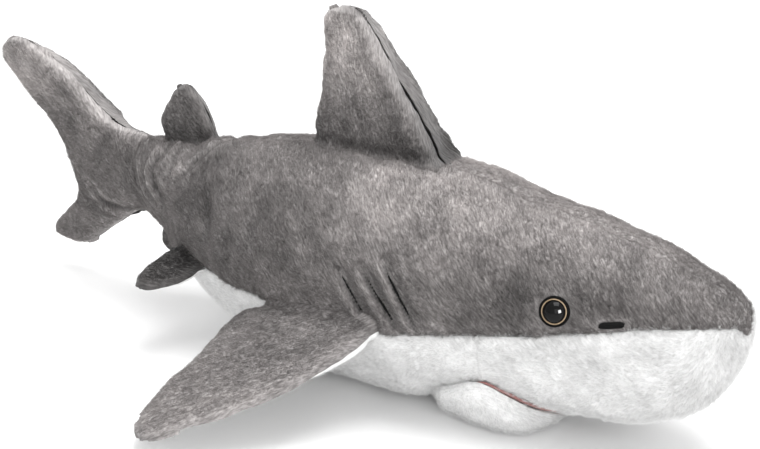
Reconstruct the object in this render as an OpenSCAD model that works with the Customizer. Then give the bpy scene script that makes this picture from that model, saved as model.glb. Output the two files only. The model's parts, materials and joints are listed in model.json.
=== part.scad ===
// Plush shark lying on its belly. Millimetres, +Z up, nose towards +X, left side towards +Y.
// The origin is under the middle of the shark, on the surface that it lies on.
// Every place along the body is a distance behind the nose tip.

/* [Body] */
// Length from the nose tip to the end of the tail
body_length = 546; // [500:2:600]
// Greatest width of the body, without the fins
body_width = 134; // [126:1:142]
// Height of the back over the surface
body_height = 140; // [134:1:146]
// Thickness of the plush fabric, pile included
skin = 2; // [1.6:0.1:2.4]

/* [Fins] */
// Half thickness of the big back fin
dorsal_half = 14; // [10:1:16]
// Half thickness of a pectoral fin
pectoral_half = 9; // [7:1:11]
// Half thickness of the small fins
small_fin_half = 6; // [5:0.5:7]

/* [Eyes] */
// Diameter of the black dome of an eye
eye_diameter = 14; // [12:0.5:15]
// Diameter of the ring round the dome
eye_ring_diameter = 17.5; // [16.5:0.5:18]
// Height of the dome over the fabric
eye_height = 5; // [4:0.5:6]
// Diameter of the plastic shank behind the dome
shank_diameter = 4; // [3:0.5:5]

/* [Hidden] */

grey = "dimgray";
white = "whitesmoke";
fill_colour = "ivory";
lining_colour = "rosybrown";

nominal_length = 546;
nominal_width = 134;
nominal_height = 140;
kx = body_length / nominal_length;
ky = body_width / nominal_width;
kz = body_height / nominal_height;
nose_x = body_length / 2;

seam_gap = 0.15; // half of the space between two panels that a seam joins
fill_gap = 0.5; // space between the fabric and the stuffing
section_power = 2.2; // 2 is an ellipse, and more is squarer

// Cross-sections of the body: behind the nose, half width, top, bottom, height of the widest point,
// height of the seam between grey and white
sections = [
    [0, 1, 81, 75, 78, 78],
    [4, 18, 91, 60, 76, 87],
    [12, 30, 97, 42, 71.5, 89],
    [30, 39, 106, 26, 68, 88],
    [60, 46, 116, 15.5, 67, 82],
    [95, 52, 123, 12, 66, 73],
    [135, 60, 130, 12, 65, 65],
    [155, 63, 134, 10, 65, 61],
    [185, 67, 138, -3, 65, 56],
    [235, 67, 140, -4, 66, 54],
    [285, 60, 134, -3, 66, 52],
    [335, 46, 125, 16, 70, 54],
    [375, 31, 117, 44, 77, 61],
    [402, 22, 114, 58, 86, 64]
];
WIDTH = 1;
TOP = 2;
BOTTOM = 3;
WIDEST = 4;
SEAM = 5;

torso_end = 398; // where the torso's fabric ends, over the tail's round front
snout_end = 128; // seam between the snout panel and the belly panel
foot_front = 185; // the belly is flat between these two places, where it rests on the surface
foot_rear = 285;
foot_half = 14; // half width of the flat foot between its four corners
torso_stations = [
    0, 1, 4, 9, 18, 30, 45, 62, 80, 96, 112, snout_end, 145, 160, 173, foot_front, 210, 235, 260, foot_rear,
    305, 328, 352, 376, torso_end
];
snout_stations = [for (s = torso_stations) if (s <= snout_end) min(s, snout_end - seam_gap)];
belly_stations = [for (s = torso_stations) if (s >= snout_end) max(s, snout_end + seam_gap)];
band_steps = 7; // facets from a seam to the ridge, or from a seam to the middle of the belly

// Lower jaw: behind the nose, half width along the lips
jaw_front = 93;
jaw_lips = [[jaw_front, 6], [96, 20], [102, 32], [112, 43], [128, 52], [150, 53], [168, 48]];
jaw_stations = [jaw_front, 94.5, 97, 102, 110, 120, 132, 146, 158, 168];
mouth_stations = [for (s = jaw_stations) if (s < 150) s];
jaw_steps = 12; // facets across the jaw
jaw_rest = 0.8; // the jaw hangs just clear of the surface
lip_depth = 4; // height of the jaw's edge
lining = 0.8; // thickness of the felt that lines the mouth
lining_gap = 0.6; // space between the snout and the felt under it
mouth_gap = 0.7; // space between the two linings

// Fins. Each one lies in a plane: p runs back along the root, and q runs out to the tip.
// [root's front, root's rear, a point that the fin points to], each as behind the nose, side, height,
// then the leading and the trailing edge as [q, p], and the half thickness at the root and at the tip
LEAD = 3;
TRAIL = 4;
HALF_ROOT = 5;
HALF_TIP = 6;
ROUNDING = 7; // distance from the edge over which the fin swells to its full thickness

dorsal_fin = [
    [186, 0, 141.2], [274, 0, 140], [230, 0, 220],
    [[0, 0], [16, 14], [36, 28], [56, 41], [71, 50], [77, 56], [80, 62]],
    [[0, 88], [14, 86], [36, 81], [56, 79], [68, 80], [76, 77], [80, 68]],
    dorsal_half, dorsal_half * 0.6, 26
];
second_dorsal_fin = [
    [349, 0, 124], [399, 0, 115.8], [372, 0, 154],
    [[0, 2], [14, 6.5], [25, 10.5], [32, 16], [35, 21]],
    [[0, 50], [11, 49.5], [20, 44], [28, 36.5], [33, 30], [35, 25]],
    small_fin_half, small_fin_half * 0.8, 14
];
anal_fin = [
    [372, 0, 41.1], [397, 0, 54.7], [396, 0, 35],
    [[0, 0], [8, 5], [15, 11], [20, 18]],
    [[0, 32], [8, 33], [15, 31], [20, 24]],
    small_fin_half * 0.7, small_fin_half * 0.6, 9
];
pectoral_fin = [
    [186, 69.5, 56], [271, 64.5, 49], [228, 150, 20],
    [[0, 0], [25, 8], [48, 20], [70, 38], [90, 59], [104, 74], [110, 84]],
    [[0, 84], [6, 93], [18, 96], [46, 97], [70, 101], [86, 102], [100, 99], [107, 93], [110, 87]],
    pectoral_half, pectoral_half * 0.7, 24
];
pelvic_fin = [
    [328, 48.6, 52], [354, 40.4, 61], [359, 73, 50],
    [[0, 0], [14, 0], [28, 3], [36, 9], [39, 14]],
    [[0, 31], [12, 29], [24, 27], [34, 22], [39, 17]],
    small_fin_half * 0.8, small_fin_half * 0.7, 11
];

// Tail and tail fin, as an outline in the upright middle plane: height, then behind the nose
tail_swing_axis = 408; // upright hinge in the narrow stretch before the tail fin
tail_front = tail_swing_axis - 19;
tail_lead = [
    [20.5, 480], [25, 467], [30, 459], [37, 449], [48, 433], [55, 423], [62, 413], [68, tail_front + 9],
    [74, tail_front], [104, tail_front], [110, tail_front + 9], [113.5, 412], [116, 434], [120, 441],
    [129, 450], [140, 462], [150, 480], [157, 496], [162, 513], [164.5, 524]
];
tail_trail = [
    [20.5, 496], [25, 506], [30, 506], [37, 502], [48, 492], [58, 484], [64, 482], [78, 487], [94, 492],
    [105, 500], [119, 515], [129, 526], [139, 538], [149, 546], [157, 544], [162, 538], [164.5, 530]
];
tail_rows = [20.5, 23, 29, 37, 48, 58, 67, 74, 84, 95, 104, 110, 114, 118, 128, 140, 150, 158, 162.5, 164.5];
tail_thickness = [[389, 19], [410, 19], [430, 15], [455, 11.5], [500, 9], [546, 7]];
tail_rounding = [[389, 21], [430, 21], [470, 18], [546, 15]];

// Places on the flank are given as [behind the nose, height]
eye_place = [88.5, 88];
eye_look = [0.18, 0.937, 0.299];
nostril_ends = [[65, 84.4], [52.5, 87]];
gill_ends = [[[212, 83], [192, 59]], [[198, 88.6], [175, 62]], [[186, 94.9], [162, 62]]];
thread_radius = 0.8;
washer_radius = 6;
washer_depth = skin + 2; // from the outside of the fabric to the far face of the washer
shank_reach = skin + 6; // from the outside of the fabric to the tip of the shank
dome_lift = 0.4; // the dome sits just clear of the curved fabric

// ---- Curves ----

function index_of(table, x, i = 0) =
    i >= len(table) - 2 || x < table[i + 1][0] ? i : index_of(table, x, i + 1);

function chord_slope(table, k, i) = (table[i + 1][k] - table[i][k]) / (table[i + 1][0] - table[i][0]);

// Slope at a control point: the harmonic mean of its neighbours, and flat at a crest
function slope(table, k, i) =
    i == 0 ? chord_slope(table, k, 0)
    : i == len(table) - 1 ? chord_slope(table, k, i - 1)
    : let (a = chord_slope(table, k, i - 1), b = chord_slope(table, k, i))
      a * b <= 0 ? 0 : 2 * a * b / (a + b);

// Smooth curve through column k of a table whose first column rises
function curve(table, k, x) =
    let (
        i = index_of(table, x),
        h = table[i + 1][0] - table[i][0],
        u = min(max((x - table[i][0]) / h, 0), 1),
        low = table[i][k],
        high = table[i + 1][k]
    )
    low * (1 + 2 * u) * (1 - u) * (1 - u) + high * u * u * (3 - 2 * u)
    + h * slope(table, k, i) * u * (1 - u) * (1 - u) - h * slope(table, k, i + 1) * u * u * (1 - u);

function unit(v) = v / norm(v);
function place(p) = [nose_x - p[0] * kx, p[1] * ky, p[2] * kz];
function mirrored(p, side) = [p[0], p[1] * side, p[2]];

// ---- Body sections ----

// Share of a section's half height or half width at a share of the other one
function bulge(share) = pow(max(1 - pow(abs(share), section_power), 0), 1 / section_power);

// Angle round a section at the seam: 0 is the widest point, and 90 is the ridge
function seam_angle(s) =
    let (
        rise = curve(sections, SEAM, s) - curve(sections, WIDEST, s),
        room = rise >= 0
            ? curve(sections, TOP, s) - curve(sections, WIDEST, s)
            : curve(sections, WIDEST, s) - curve(sections, BOTTOM, s)
    )
    sign(rise) * asin(min(pow(abs(rise) / room, section_power / 2), 1));

// How far a surface that is depth under the fabric's outside lies inside a section. It fades out at the nose.
function inset(s, depth) = depth * s / (s + 4);
function nose_shift(s, depth) = depth * max(0, 1 - s / 20);

// Point of the body at an angle, depth under the outside, and across from the middle plane. Its foot is flat,
// and a little narrower between its corners.
function body_point(s, angle, depth, side) =
    let (
        d = inset(s, depth),
        widest = curve(sections, WIDEST, s),
        w = max(curve(sections, WIDTH, s) - d, 0.3),
        rise = max((sin(angle) >= 0 ? curve(sections, TOP, s) - widest : widest - curve(sections, BOTTOM, s)) - d, 0.3),
        z = widest + rise * sign(sin(angle)) * pow(abs(sin(angle)), 2 / section_power),
        reach = z < d && s > foot_front && s < foot_rear ? foot_half : w,
        y = min(w * pow(abs(cos(angle)), 2 / section_power), reach)
    )
    place([s + nose_shift(s, depth), side * max(y, seam_gap), max(z, d)]);

// Point of the fabric's outside at a place on the flank
function on_flank(spot, side) =
    let (
        widest = curve(sections, WIDEST, spot[0]),
        room = curve(sections, spot[1] > widest ? TOP : BOTTOM, spot[0]) - widest
    )
    place([spot[0], side * curve(sections, WIDTH, spot[0]) * bulge((spot[1] - widest) / room), spot[1]]);

// Underside of the body at a distance across from the middle plane
function underside(s, y) =
    let (widest = curve(sections, WIDEST, s))
    widest - (widest - curve(sections, BOTTOM, s)) * bulge(y / curve(sections, WIDTH, s));

function back_angles(s) =
    let (low = seam_angle(s)) [for (k = [0 : band_steps]) low + 0.25 + (90 - low - 0.25) * k / band_steps];
function belly_angles(s) =
    let (high = seam_angle(s)) [for (k = [0 : band_steps]) -90 + (90 + high - 0.25) * k / band_steps];

// ---- Solids from rings ----

function sides(rings, n) = [
    for (i = [0 : rings - 2]) for (k = [0 : n - 1])
        let (a = i * n + k, b = i * n + (k + 1) % n, c = a + n, d = b + n)
        for (t = [[a, b, c], [b, d, c]]) t
];

function turned(faces, flip) = [for (f = faces) flip ? [f[0], f[2], f[1]] : f];

// A closed solid through rings that have the same number of points
module loft(rings) {
    n = len(rings[0]);
    last = (len(rings) - 1) * n;
    ends = [for (k = [1 : n - 2]) for (t = [[0, k + 1, k], [last, last + k, last + k + 1]]) t];
    polyhedron(points = [for (r = rings) each r], faces = concat(sides(len(rings), n), ends));
}

// A strip of fabric through bands: each ring is an outer line of points and then the inner line, back again
module fabric(rings, flip = false) {
    n = len(rings[0]);
    half = n / 2;
    last = (len(rings) - 1) * n;
    ends = [
        for (k = [0 : half - 2])
            let (a = k, b = k + 1, c = n - 1 - k, d = n - 2 - k)
            for (t = [[a, c, b], [b, c, d], [last + a, last + b, last + c], [last + b, last + d, last + c]]) t
    ];
    polyhedron(points = [for (r = rings) each r], faces = turned(concat(sides(len(rings), n), ends), flip));
}

function reversed(list) = [for (k = [len(list) - 1 : -1 : 0]) list[k]];

// ---- Torso ----

// One side's grey panel, from the seam up to the ridge
module back_panel(side) {
    color(grey) difference() {
        fabric([
            for (s = torso_stations)
                let (angles = back_angles(s))
                concat(
                    [for (a = angles) body_point(s, a, 0, side)],
                    [for (a = reversed(angles)) body_point(s, a, skin, side)]
                )
        ], side < 0);
        at_eye(side) cylinder(h = 30, r = shank_diameter / 2 + 0.1, center = true, $fn = 24);
    }
}

// White panel across the underside, from one seam to the other
module under_panel(stations) {
    fabric([
        for (s = stations)
            let (half = belly_angles(s), over = reversed(half))
            concat(
                [for (a = over) body_point(s, a, 0, -1)],
                [for (k = [1 : band_steps]) body_point(s, half[k], 0, 1)],
                [for (k = [0 : band_steps - 1]) body_point(s, over[k], skin, 1)],
                [for (a = half) body_point(s, a, skin, -1)]
            )
    ]);
}

module snout_panel() {
    color(white) under_panel(snout_stations);
}

module belly_panel() {
    color(white) under_panel(belly_stations);
}

// Loose fibre fill of the head and body, with pockets for the backs of the eyes
module torso_stuffing() {
    depth = skin + fill_gap;
    color(fill_colour) difference() {
        loft([
            for (s = torso_stations)
                if (s < tail_front - 6)
                    let (low = belly_angles(s), up = back_angles(s))
                    concat(
                        [for (a = up) body_point(s, a, depth, 1)],
                        [for (a = reversed(up)) body_point(s, a, depth, -1)],
                        [for (a = reversed(low)) body_point(s, a, depth, -1)],
                        [for (a = low) body_point(s, a, depth, 1)]
                    )
        ]);
        for (side = [-1, 1]) at_eye(side) {
            translate([0, 0, -washer_depth - 1]) cylinder(h = washer_depth + 1, r = washer_radius + 0.4, $fn = 32);
            translate([0, 0, -shank_reach - 2]) cylinder(h = shank_reach + 2, r = shank_diameter / 2 + 0.4, $fn = 24);
        }
    }
}

// ---- Eyes, nostrils and gills ----

// Moves to the fabric's outside at an eye, with +Z the way that the eye looks
module at_eye(side) {
    look = unit(mirrored(eye_look, side));
    turn = atan2(look[1], look[0]);
    translate(on_flank(eye_place, side)) rotate([0, 0, turn]) rotate([0, acos(look[2]), 0]) children();
}

// Black dome with its shank, one moulded piece
module eye(side) {
    base = eye_diameter / 2;
    ball = (base * base + eye_height * eye_height) / (2 * eye_height);
    color("black") at_eye(side) {
        translate([0, 0, dome_lift]) intersection() {
            translate([0, 0, eye_height - ball]) sphere(r = ball, $fn = 48);
            cylinder(h = eye_height + 1, r = base, $fn = 48);
        }
        translate([0, 0, -shank_reach]) cylinder(h = shank_reach + dome_lift + 0.5, r = shank_diameter / 2, $fn = 24);
    }
}

// Thin tan ring between the dome and the fur
module eye_ring(side) {
    inner = eye_diameter / 2 + 0.1;
    outer = eye_ring_diameter / 2;
    color("tan") at_eye(side) translate([0, 0, dome_lift]) rotate_extrude($fn = 48)
        polygon([[inner, 0], [outer, 0], [outer - 0.2, 0.8], [inner + 0.5, 1.7], [inner, 1.7]]);
}

// Lock washer that grips the shank behind the fabric
module eye_washer(side) {
    color("silver") at_eye(side) translate([0, 0, -washer_depth]) difference() {
        cylinder(h = 1.2, r = washer_radius, $fn = 32);
        translate([0, 0, -1]) cylinder(h = 4, r = shank_diameter / 2 + 0.02, $fn = 24);
    }
}

// A thick line of embroidery thread between two points of the fabric
module thread(ends, side) {
    a = on_flank(ends[0], side);
    b = on_flank(ends[1], side);
    along = b - a;
    translate(a) rotate([0, 0, atan2(along[1], along[0])]) rotate([0, acos(along[2] / norm(along)), 0])
        cylinder(h = norm(along), r = thread_radius, $fn = 16);
}

module nostril(side) {
    color("black") thread(nostril_ends, side);
}

module gill_stitching(side) {
    color("black") for (ends = gill_ends) thread(ends, side);
}

// ---- Mouth ----

function lip_width(s) = curve(jaw_lips, 1, s);
function lip_share(k) = sin(-90 + 180 * k / jaw_steps);
function roof(s, y, drop) = underside(s, y) - drop;
function jaw_top(s, y) = roof(s, y, lining_gap + lining + mouth_gap);

// Outside of the jaw: a bowl from lip to lip
function jaw_outside(s, share) =
    let (
        w = lip_width(s),
        lip = jaw_top(s, w) - lip_depth,
        front = 5 * max(0, 1 - (s - jaw_front) / 9),
        drop = max(0, lip - front - jaw_rest)
    )
    lip - drop * (1 - pow(abs(share), 3));

// A layer of the jaw between two surfaces, from one lip to the other, less a number of facets at each lip
module jaw_layer(stations, trim, low, high) {
    rings = [
        for (s = stations)
            let (w = lip_width(s), shares = [for (k = [trim : jaw_steps - trim]) lip_share(k)])
            concat(
                [for (v = shares) place([s, v * w, low(s, v * w)])],
                [for (v = reversed(shares)) place([s, v * w, high(s, v * w)])]
            )
    ];
    fabric(rings);
}

function jaw_floor(s, y) = jaw_outside(s, y / lip_width(s));

module jaw_panel() {
    color(white) jaw_layer(jaw_stations, 0,
        function (s, y) jaw_floor(s, y),
        function (s, y) jaw_floor(s, y) + skin);
}

module jaw_lining() {
    color(lining_colour) jaw_layer(mouth_stations, 0,
        function (s, y) jaw_top(s, y) - lining,
        function (s, y) jaw_top(s, y));
}

module jaw_stuffing() {
    color(fill_colour) jaw_layer([for (s = mouth_stations) if (s > jaw_front + 3) s], 2,
        function (s, y) jaw_floor(s, y) + skin + fill_gap,
        function (s, y) max(jaw_top(s, y) - lining - fill_gap, jaw_floor(s, y) + skin + 2 * fill_gap));
}

// Felt on the roof of the mouth
module mouth_lining() {
    color(lining_colour) jaw_layer(mouth_stations, 1,
        function (s, y) roof(s, y, lining_gap + lining),
        function (s, y) roof(s, y, lining_gap));
}

// ---- Fins and tail ----

function swell(x) = sqrt(1 - pow(1 - min(max(x, 0), 1), 2));

function segment_distance(a, b, p) =
    let (ab = b - a, u = min(max((p - a) * ab / max(ab * ab, 1e-6), 0), 1)) norm(p - a - u * ab);

function edge_distance(outline, p) =
    min([for (k = [0 : len(outline) - 1]) segment_distance(outline[k], outline[(k + 1) % len(outline)], p)]);

// A pillow: two sewn panels over a core, swelling from its outline. Points are [p, q, half thickness].
function pillow_grid(rows, columns, lead, trail, half, rounding) =
    let (
        outline = concat(
            [for (q = rows) [curve(lead, 1, q), q]],
            [for (q = reversed(rows)) [curve(trail, 1, q), q]]
        )
    )
    [
        for (q = rows)
            let (front = curve(lead, 1, q), rear = curve(trail, 1, q))
            [
                for (j = [0 : columns])
                    let (
                        p = front + (rear - front) * (1 - cos(180 * j / columns)) / 2,
                        d = edge_distance(outline, [p, q])
                    )
                    [p, q, d, half(p, q), rounding(p, q)]
            ]
    ];

function outer_half(g) = g[3] * swell(g[2] / g[4]);
function inner_half(g) = (g[3] - skin) * swell((g[2] - skin) / g[4]);

// Triangles of a grid. The diagonals run into the corners, so that no triangle has all its points on the edge.
function grid_faces(index, rows, columns) = [
    for (i = [0 : rows - 1]) for (j = [0 : columns - 1])
        let (
            a = index(i, j), b = index(i, j + 1), c = index(i + 1, j), d = index(i + 1, j + 1),
            into_corner = (i - (rows - 1) / 2) * (j - (columns - 1) / 2) >= 0
        )
        for (t = into_corner ? [[a, b, d], [a, d, c]] : [[a, b, c], [b, d, c]]) t
];

// A closed solid between two surfaces over a grid, which meet at the height edge along the grid's edge
module between(grid, near, far, edge, to_place, flip) {
    rows = len(grid) - 1;
    columns = len(grid[0]) - 1;
    n = columns + 1;
    function on_edge(i, j) = i == 0 || i == rows || j == 0 || j == columns;
    function face_points(height) = [
        for (i = [0 : rows]) for (j = [0 : columns])
            let (g = grid[i][j]) to_place(g[0], g[1], on_edge(i, j) ? edge : height(g))
    ];
    function far_index(i, j) = i * n + j;
    function near_index(i, j) = far_index(i, j) + (on_edge(i, j) ? 0 : (rows + 1) * n);
    polyhedron(
        points = concat(face_points(far), face_points(near)),
        faces = concat(
            turned(grid_faces(function (i, j) far_index(i, j), rows, columns), flip),
            turned(grid_faces(function (i, j) near_index(i, j), rows, columns), !flip)
        )
    );
}

// One panel of a pillow, on the side that the normal points to, or on the other with side = -1
module pillow_panel(grid, side, to_place) {
    between(grid,
        function (g) side * (seam_gap + inner_half(g)),
        function (g) side * (seam_gap + outer_half(g)),
        side * seam_gap, to_place, side < 0);
}

// The core of a pillow, inside both panels
module pillow_core(grid, to_place) {
    inner_grid = [for (i = [1 : len(grid) - 2]) [for (j = [1 : len(grid[0]) - 2]) grid[i][j]]];
    half = function (g) max(inner_half(g) - fill_gap, 0.05);
    between(inner_grid, function (g) -half(g), function (g) half(g), 0, to_place, false);
}

fin_columns = 10;

function fin_rows(fin) =
    let (span = fin[LEAD][len(fin[LEAD]) - 1][0])
    [for (share = [0, 0.05, 0.15, 0.3, 0.45, 0.6, 0.75, 0.88, 0.96, 1]) span * share];

function fin_grid(fin) =
    let (span = fin[LEAD][len(fin[LEAD]) - 1][0])
    pillow_grid(
        fin_rows(fin), fin_columns, fin[LEAD], fin[TRAIL],
        function (p, q) fin[HALF_ROOT] + (fin[HALF_TIP] - fin[HALF_ROOT]) * q / span,
        function (p, q) fin[ROUNDING]
    );

// From a fin's own plane to the body, on one side of it
function fin_place(fin, side) =
    let (
        front = place(mirrored(fin[0], side)),
        rear = place(mirrored(fin[1], side)),
        aim = place(mirrored(fin[2], side)),
        back = unit(rear - front),
        out = unit(aim - front - ((aim - front) * back) * back),
        normal = unit(cross(back, out)) * side
    )
    function (p, q, t) front + back * p + out * q + normal * t;

// The fins on the middle plane, with a left and a right panel
module upright_panel(fin, side) {
    color(grey) pillow_panel(fin_grid(fin), side, fin_place(fin, 1));
}

module upright_core(fin) {
    color(fill_colour) pillow_core(fin_grid(fin), fin_place(fin, 1));
}

// The paired fins, with a grey upper panel and a white lower one. The normal of a paired fin's plane points down.
module side_panel(fin, side, upper) {
    color(upper ? grey : white) pillow_panel(fin_grid(fin), upper ? -1 : 1, fin_place(fin, side));
}

module side_core(fin, side) {
    color(fill_colour) pillow_core(fin_grid(fin), fin_place(fin, side));
}

tail_columns = 12;
tail_grid = pillow_grid(
    tail_rows, tail_columns, tail_lead, tail_trail,
    function (p, q) lookup(p, tail_thickness),
    function (p, q) lookup(p, tail_rounding)
);
tail_place = function (p, q, t) place([p, t, q]);

module tail_panel(side) {
    color(grey) pillow_panel(tail_grid, side, tail_place);
}

module tail_stuffing() {
    color(fill_colour) pillow_core(tail_grid, tail_place);
}

// ---- The model ----

back_panel(1);  // back_panel_left
back_panel(-1);  // back_panel_right
snout_panel();
belly_panel();
mouth_lining();
torso_stuffing();
eye(1);  // eye_left
eye(-1);  // eye_right
eye_ring(1);  // eye_ring_left
eye_ring(-1);  // eye_ring_right
eye_washer(1);  // eye_washer_left
eye_washer(-1);  // eye_washer_right
nostril(1);  // nostril_left
nostril(-1);  // nostril_right
gill_stitching(1);  // gill_stitching_left
gill_stitching(-1);  // gill_stitching_right
jaw_panel();
jaw_lining();
jaw_stuffing();
tail_panel(1);  // tail_panel_left
tail_panel(-1);  // tail_panel_right
tail_stuffing();
upright_panel(dorsal_fin, 1);  // dorsal_panel_left
upright_panel(dorsal_fin, -1);  // dorsal_panel_right
upright_core(dorsal_fin);  // dorsal_stuffing
upright_panel(second_dorsal_fin, 1);  // second_dorsal_panel_left
upright_panel(second_dorsal_fin, -1);  // second_dorsal_panel_right
upright_core(second_dorsal_fin);  // second_dorsal_stuffing
upright_panel(anal_fin, -1);  // anal_panel_left
upright_panel(anal_fin, 1);  // anal_panel_right
upright_core(anal_fin);  // anal_stuffing
side_panel(pectoral_fin, 1, true);  // pectoral_upper_left
side_panel(pectoral_fin, 1, false);  // pectoral_lower_left
side_core(pectoral_fin, 1);  // pectoral_stuffing_left
side_panel(pectoral_fin, -1, true);  // pectoral_upper_right
side_panel(pectoral_fin, -1, false);  // pectoral_lower_right
side_core(pectoral_fin, -1);  // pectoral_stuffing_right
side_panel(pelvic_fin, 1, true);  // pelvic_upper_left
side_panel(pelvic_fin, 1, false);  // pelvic_lower_left
side_core(pelvic_fin, 1);  // pelvic_stuffing_left
side_panel(pelvic_fin, -1, true);  // pelvic_upper_right
side_panel(pelvic_fin, -1, false);  // pelvic_lower_right
side_core(pelvic_fin, -1);  // pelvic_stuffing_right
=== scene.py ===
"""A plush shark: sewn plush panels with a combed pile, safety eyes and embroidery, on a pale studio floor."""

import json
import math

import bpy
import numpy as np
from mathutils import Matrix, Vector

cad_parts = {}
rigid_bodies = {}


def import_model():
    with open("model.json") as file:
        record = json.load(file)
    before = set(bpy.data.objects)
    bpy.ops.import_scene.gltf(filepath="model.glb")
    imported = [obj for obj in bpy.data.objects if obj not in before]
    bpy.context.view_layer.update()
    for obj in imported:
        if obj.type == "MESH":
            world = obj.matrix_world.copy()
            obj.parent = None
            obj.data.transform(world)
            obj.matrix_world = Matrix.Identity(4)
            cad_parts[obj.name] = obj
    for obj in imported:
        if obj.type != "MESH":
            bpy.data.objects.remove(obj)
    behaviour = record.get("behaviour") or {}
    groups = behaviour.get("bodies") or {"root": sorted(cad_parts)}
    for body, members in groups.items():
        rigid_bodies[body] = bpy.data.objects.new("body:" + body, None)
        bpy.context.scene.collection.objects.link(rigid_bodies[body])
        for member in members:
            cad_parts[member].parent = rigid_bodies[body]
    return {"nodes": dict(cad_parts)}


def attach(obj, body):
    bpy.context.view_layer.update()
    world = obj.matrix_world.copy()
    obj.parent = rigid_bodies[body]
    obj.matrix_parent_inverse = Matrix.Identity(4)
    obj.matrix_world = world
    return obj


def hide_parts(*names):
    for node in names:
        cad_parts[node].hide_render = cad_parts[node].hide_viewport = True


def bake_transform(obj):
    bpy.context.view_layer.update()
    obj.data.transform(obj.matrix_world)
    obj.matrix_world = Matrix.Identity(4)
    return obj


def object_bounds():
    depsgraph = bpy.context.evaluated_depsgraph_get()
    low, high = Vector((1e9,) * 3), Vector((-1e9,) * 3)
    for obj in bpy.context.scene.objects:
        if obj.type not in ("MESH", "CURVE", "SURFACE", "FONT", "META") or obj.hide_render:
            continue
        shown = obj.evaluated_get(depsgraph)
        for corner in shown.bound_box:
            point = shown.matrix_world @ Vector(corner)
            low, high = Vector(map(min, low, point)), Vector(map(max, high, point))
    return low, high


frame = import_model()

cad_low, cad_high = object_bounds()

# Every length below is in millimetres, and places along the body are distances behind the nose tip, as "s".
# The frame has +X towards the nose, +Y to the shark's left and +Z up.
MM = 0.001
NOSE_X = cad_high.x / MM
RIGHT, LEFT = -1, 1
SIDE_NAMES = {LEFT: "left", RIGHT: "right"}

# ---- The body's sections: s, half width, top, bottom, height of the widest point, height of the seam ----

SECTIONS = np.array([
    [0, 1, 81, 75, 78, 78],
    [4, 18, 91, 60, 76, 87],
    [12, 30, 97, 42, 71.5, 89],
    [30, 39, 106, 26, 68, 88],
    [60, 46, 116, 15.5, 67, 82],
    [95, 52, 123, 12, 66, 73],
    [135, 60, 130, 12, 65, 65],
    [155, 63, 134, 10, 65, 61],
    [185, 67, 138, -3, 65, 56],
    [235, 67, 140, -4, 66, 54],
    [285, 60, 134, -3, 66, 52],
    [335, 46, 125, 16, 70, 54],
    [375, 31, 117, 44, 77, 61],
    [402, 22, 114, 60, 86, 65],
    [410, 20, 113.5, 62, 87, 66],
    [425, 16.5, 115, 56, 86, 60],
    [440, 14, 119.5, 43.5, 84, 52],
], float)
WIDTH, TOP, BOTTOM, WIDEST, SEAM = 1, 2, 3, 4, 5
POWER = 2.2  # 2 is an ellipse, and more is squarer

PILE = 1.6  # how deep the cloth lies under the tips of the pile
SKIN = 1.8  # thickness of the cloth
REST_HEIGHT = 0.8  # lowest that the cloth comes to the floor
SEAM_BARE = 0.9  # no pile grows this near to a seam of a fin or the tail

SNOUT_END = 128
WHITE_NARROWS = 352  # from here the white belly narrows to a point
WHITE_END = 398
TORSO_END = 424  # the torso's cloth ends inside the tail
TAIL_START = 408  # the torso's cloth goes in under the tail's from here on, and the tail's grows pile
TAIL_SHOWS = 415  # the tail's cloth is at its full width from here on
MOUTH_BARE = (98, 160)  # between these two places the cloth over the mouth grows no pile

# ---- Fins: root front, root rear and a point that the fin aims at, each as s, side, height; then the
# leading and the trailing edge as [out, back], the half thickness at the root and at the tip, the distances
# over which the two edges round off, how far the cloth goes in below the root, how far out from the root the
# end of the blend tuple lies, and how much fuller the front of the left panel is ----

DORSAL = dict(
    front=(186, 0, 141.2), rear=(274, 0, 140), aim=(230, 0, 220),
    lead=[[0, 0], [16, 10.5], [36, 24], [56, 37.5], [71, 48], [77, 54], [80, 61]],
    trail=[[0, 88], [14, 86], [36, 81], [56, 79], [68, 80], [76, 77], [80, 68]],
    root_half=14, tip_half=8.4, lead_rounding=6, rounding=26, sink=12, bend=20, full=4,
)
SECOND_DORSAL = dict(
    front=(349, 0, 124), rear=(399, 0, 115.8), aim=(372, 0, 154),
    lead=[[0, 2], [14, 6.5], [25, 10.5], [32, 16], [35, 21]],
    trail=[[0, 50], [11, 49.5], [20, 44], [28, 36.5], [33, 30], [35, 25]],
    root_half=6, tip_half=4.8, lead_rounding=9, rounding=14, sink=8, bend=9,
)
ANAL = dict(
    front=(372, 0, 41.1), rear=(397, 0, 54.7), aim=(396, 0, 35),
    lead=[[0, 0], [8, 5], [15, 11], [20, 18]],
    trail=[[0, 32], [8, 33], [15, 31], [20, 24]],
    root_half=4.2, tip_half=3.6, lead_rounding=7, rounding=9, sink=6, bend=7,
)
PECTORAL = dict(
    front=(186, 69.5, 56), rear=(271, 64.5, 49), aim=(228, 150, 20),
    lead=[[0, 0], [25, 8], [48, 20], [70, 38], [90, 59], [104, 74], [110, 84]],
    trail=[[0, 84], [6, 93], [18, 96], [46, 97], [70, 101], [86, 102], [100, 99], [107, 93], [110, 87]],
    root_half=9, tip_half=6.3, lead_rounding=16, rounding=24, sink=10, bend=22,
)
PELVIC = dict(
    front=(328, 48.6, 52), rear=(354, 40.4, 61), aim=(359, 73, 50),
    lead=[[0, 0], [14, 0], [28, 3], [36, 9], [39, 14]],
    trail=[[0, 31], [12, 29], [24, 27], [34, 22], [39, 17]],
    root_half=4.8, tip_half=4.2, lead_rounding=8, rounding=11, sink=7, bend=10,
)

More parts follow.
